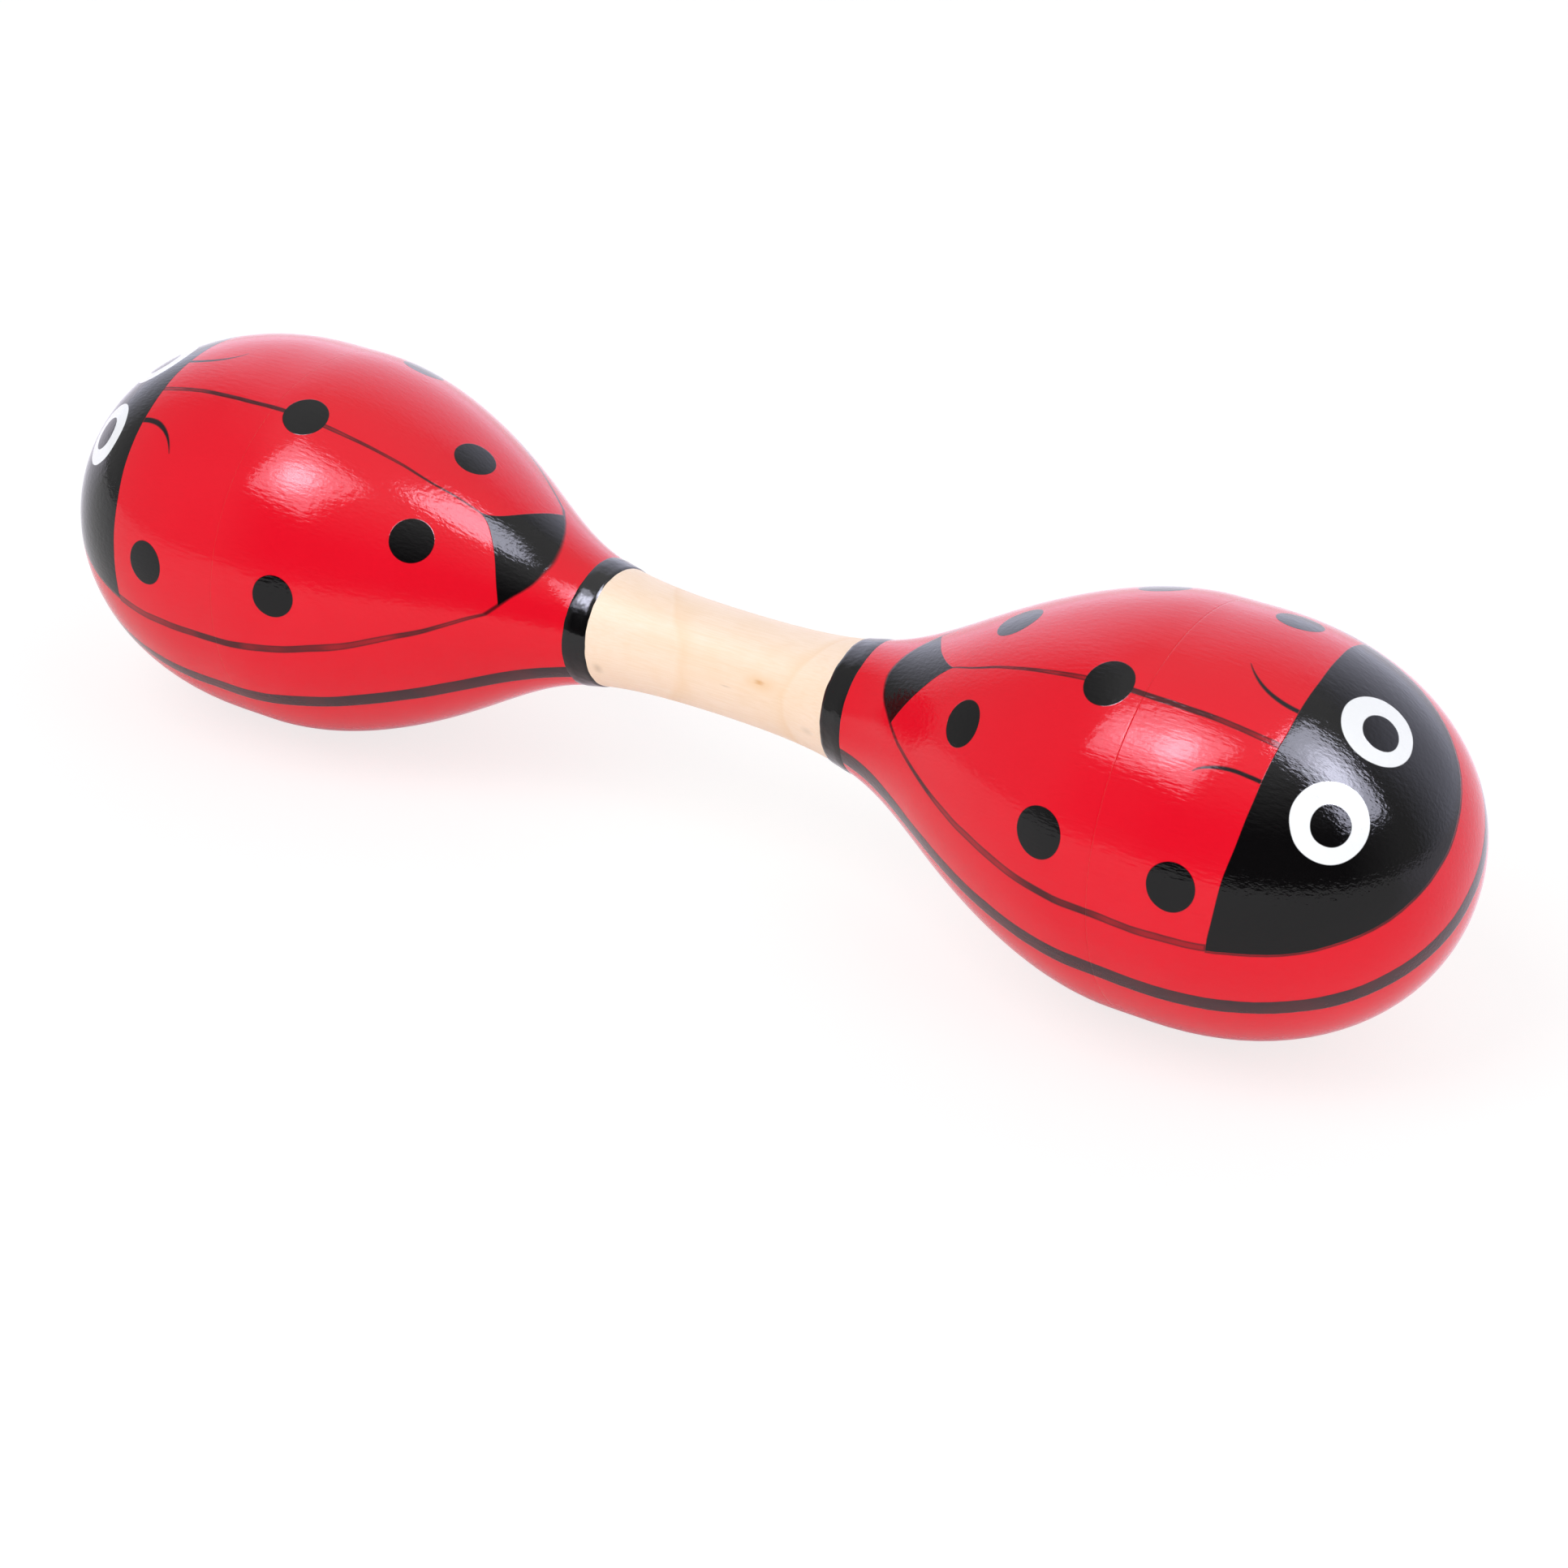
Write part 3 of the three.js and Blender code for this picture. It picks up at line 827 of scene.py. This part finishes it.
studio = {
    "worldLight": 0.47, "white": "#ffffff",
    "tableColour": "#f4f4f4", "tableSides": 96, "tableDrop": 0.02,  # the drop is from the bulbs
    "tableRadius": 12.0,  # metres, as the table's other distances
    # To the eye the table glows white, fully so where it is far off.
    "tableWhite": 1.14, "nearGlow": 0.68, "nearEnd": 0.5, "farStart": 2.0,
    # In the gloss it glows where it lies behind the maraca.
    "tableGloss": 1.35, "glossTint": "#f5f1ff",
    "frontGloss": 0.08, "frontEnd": -0.02, "backStart": 0.06,
    # A softbox's size is in metres and its power in watts. Only the gloss shows its face, which has an
    # even shine up to its rim and a bright core.
    "rimStart": 0.8, "coreEnd": 0.75,  # shares of the half size
    "softboxes": {
        "key": {"place": (-243, -575, 956), "aim": (0, 0, 20), "size": (0.6, 0.7), "power": 4.2,
                "shine": 5.5, "core": 18.5},
        "side": {"place": (845, -130, 1123), "aim": (-15, 0, -17), "size": (0.66, 1.4), "power": 2.6,
                 "shine": 13.2, "core": 20.0},
        "back": {"place": (-60, 900, 560), "aim": (0, 0, 20), "size": (2.4, 1.4), "power": 3.2},
        "fill": {"place": (120, -900, 80), "aim": (0, 0, 20), "size": (1.4, 0.14), "power": 2.1},
        "right": {"place": (900, -200, 80), "aim": (0, 0, 20), "size": (1.0, 0.14), "power": 1.3},
    },
    "daylight": "#e9eaff",
    # Curved screens that only the gloss shows. Radii and heights are in metres, angles in degrees from
    # the front. Past fullHalf a screen turns hazy, and past endHalf it clears.
    "screenSteps": 64,
    "screens": {
        "dark": {"radius": 1.6, "middle": 25, "fullHalf": 38, "hazeHalf": 72, "haze": 0.42,
                 "endHalf": 120, "half": 160, "fullTop": 0.87, "top": 3.0, "glow": 0.0},
        "white": {"radius": 1.5, "middle": 185, "fullHalf": 50, "hazeHalf": 60, "haze": 0.0,
                  "endHalf": 50, "half": 80, "fullTop": 0.9, "top": 2.6, "glow": 2.0},
    },
}


def seenBy(put):
    path = put("LightPath")
    gloss = put("Math", {0: path.outputs["Is Glossy Ray"], 1: path.outputs["Is Transmission Ray"]},
                operation="MAXIMUM")
    return path.outputs["Is Camera Ray"], gloss


def makeWorld():
    world = bpy.data.worlds.new("white_studio")
    world.use_nodes = True
    world.node_tree.nodes.clear()
    put = partial(addNode, world.node_tree)
    eye, gloss = seenBy(put)
    seen = put("Math", {0: eye, 1: gloss}, operation="MAXIMUM")
    strength = put("MapRange", {"Value": seen, "To Min": studio["worldLight"], "To Max": 1.0})
    background = put("Background", {"Color": linearColour(studio["white"]), "Strength": strength})
    put("OutputWorld", {"Surface": background})
    bpy.context.scene.world = world


def makeTable():
    bm = bmesh.new()
    bmesh.ops.create_circle(bm, cap_ends=True, segments=studio["tableSides"],
                            radius=studio["tableRadius"])
    tableTop = axisHeight - (turning["bulbRadius"] + studio["tableDrop"]) * mm
    bmesh.ops.translate(bm, verts=bm.verts, vec=(0, 0, tableTop))
    mesh = bpy.data.meshes.new("table")
    bm.to_mesh(mesh)
    bm.free()
    material, put = newMaterial("white_table")
    matt = put("BsdfDiffuse", {"Color": linearColour(studio["tableColour"])})
    white = put("Emission", {"Color": linearColour(studio["white"]), "Strength": studio["tableWhite"]})
    place = put("TexCoord").outputs["Object"]
    away = put("VectorMath", {0: place}, operation="LENGTH").outputs["Value"]
    eyeGlow = put("MapRange", {"Value": away, "From Min": studio["nearEnd"],
                               "From Max": studio["farStart"], "To Min": studio["nearGlow"],
                               "To Max": 1.0})
    depth = put("SeparateXYZ", {0: place}).outputs["Y"]
    glossGlow = put("MapRange", {"Value": depth, "From Min": studio["frontEnd"],
                                 "From Max": studio["backStart"], "To Min": studio["frontGloss"],
                                 "To Max": 1.0})
    daylit = put("Emission", {"Color": linearColour(studio["glossTint"]),
                              "Strength": studio["tableGloss"]})
    eye, gloss = seenBy(put)
    toEye = put("Math", {0: eye, 1: eyeGlow}, operation="MULTIPLY")
    inGloss = put("Math", {0: gloss, 1: glossGlow}, operation="MULTIPLY")
    reflected = put("MixShader", {0: inGloss, 1: matt, 2: daylit})
    put("OutputMaterial", {"Surface": put("MixShader", {0: toEye, 1: reflected, 2: white})})
    mesh.materials.append(material)
    table = bpy.data.objects.new("table", mesh)
    bpy.context.scene.collection.objects.link(table)


def addGlossOnly(name, bm, material):
    mesh = bpy.data.meshes.new(name)
    bm.to_mesh(mesh)
    bm.free()
    mesh.materials.append(material)
    panel = bpy.data.objects.new(name, mesh)
    panel.visible_camera = False
    panel.visible_diffuse = False
    panel.visible_shadow = False
    bpy.context.scene.collection.objects.link(panel)
    return panel


# A screen only shows in the gloss. It clears upwards and towards its ends.
def makeScreen(name, screen):
    radius = screen["radius"]
    bm = bmesh.new()
    start = math.radians(screen["middle"] - screen["half"])
    foot = Vector((math.sin(start), -math.cos(start), 0)) * radius
    verts = [bm.verts.new((foot.x, foot.y, z)) for z in (0, screen["top"])]
    edge = bm.edges.new(verts)
    bmesh.ops.spin(bm, geom=[*verts, edge], cent=(0, 0, 0), axis=(0, 0, 1),
                   angle=math.radians(2 * screen["half"]), steps=studio["screenSteps"])
    material, put = newMaterial(name + "_screen")
    place = put("TexCoord").outputs["Object"]
    height = put("SeparateXYZ", {0: place}).outputs["Z"]
    upward = put("MapRange", {"Value": height, "From Min": screen["fullTop"], "From Max": screen["top"]})
    middle = math.radians(screen["middle"])
    towardsMiddle = (math.sin(middle) / radius, -math.cos(middle) / radius, 0)
    ahead = put("VectorMath", {0: place, 1: towardsMiddle}, operation="DOT_PRODUCT").outputs["Value"]
    turn = put("Math", {0: ahead}, operation="ARCCOSINE")
    haze = put("MapRange", {"Value": turn, "From Min": math.radians(screen["fullHalf"]),
                            "From Max": math.radians(screen["hazeHalf"]), "To Max": screen["haze"]})
    ending = put("MapRange", {"Value": turn, "From Min": math.radians(screen["endHalf"]),
                              "From Max": math.radians(screen["half"])})
    sideways = put("Math", {0: haze, 1: ending}, operation="MAXIMUM")
    clearness = put("Math", {0: upward, 1: sideways}, operation="MAXIMUM")
    lit = put("Emission", {"Color": linearColour(studio["daylight"]), "Strength": screen["glow"]})
    mixed = put("MixShader", {0: clearness, 1: lit, 2: put("BsdfTransparent")})
    put("OutputMaterial", {"Surface": mixed})
    addGlossOnly(name + "_screen", bm, material)


# A softbox is a lamp for the light and a face, brightest in the middle, for the gloss.
def makeSoftbox(name, box):
    toAim = (Vector(box["aim"]) - Vector(box["place"])).normalized()
    turn = toAim.to_track_quat("-Z", "Y").to_euler()

    data = bpy.data.lights.new(name + "_lamp", "AREA")
    data.shape = "RECTANGLE"
    data.size, data.size_y = box["size"]
    data.energy = box["power"]
    lamp = bpy.data.objects.new(name + "_lamp", data)
    lamp.visible_camera = False
    lamp.visible_glossy = False
    lamp.location = Vector(box["place"]) * mm
    lamp.rotation_euler = turn
    bpy.context.scene.collection.objects.link(lamp)
    if "shine" not in box:
        return

    bm = bmesh.new()
    bmesh.ops.create_grid(bm, x_segments=1, y_segments=1, size=0.5)
    bmesh.ops.scale(bm, verts=bm.verts, vec=(*box["size"], 1))
    material, put = newMaterial(name + "_softbox")
    place = put("TexCoord").outputs["Object"]
    width, height = box["size"]
    shares = put("VectorMath", {0: place, 1: (2 / width, 2 / height, 0)}, operation="MULTIPLY")
    sides = put("SeparateXYZ", {0: put("VectorMath", {0: shares}, operation="ABSOLUTE")})
    edge = put("Math", {0: sides.outputs["X"], 1: sides.outputs["Y"]}, operation="MAXIMUM")
    body = put("MapRange", {"Value": edge, "From Min": 1.0, "From Max": studio["rimStart"],
                            "To Max": box["shine"]}, interpolation_type="SMOOTHSTEP")
    reach = put("VectorMath", {0: shares}, operation="LENGTH").outputs["Value"]
    core = put("MapRange", {"Value": reach, "From Min": studio["coreEnd"], "From Max": 0.0,
                            "To Max": box["core"]}, interpolation_type="SMOOTHSTEP")
    shine = put("Math", {0: body, 1: core}, operation="ADD")
    glow = put("Emission", {"Color": linearColour(studio["daylight"]), "Strength": shine})
    put("OutputMaterial", {"Surface": put("AddShader", {0: glow, 1: put("BsdfTransparent")})})
    face = addGlossOnly(name + "_softbox", bm, material)
    face.location = lamp.location
    face.rotation_euler = turn


makeWorld()
makeTable()
for name, screen in studio["screens"].items():
    makeScreen(name, screen)
for name, box in studio["softboxes"].items():
    makeSoftbox(name, box)
bpy.context.scene.view_settings.view_transform = "Standard"
print("studio lit")
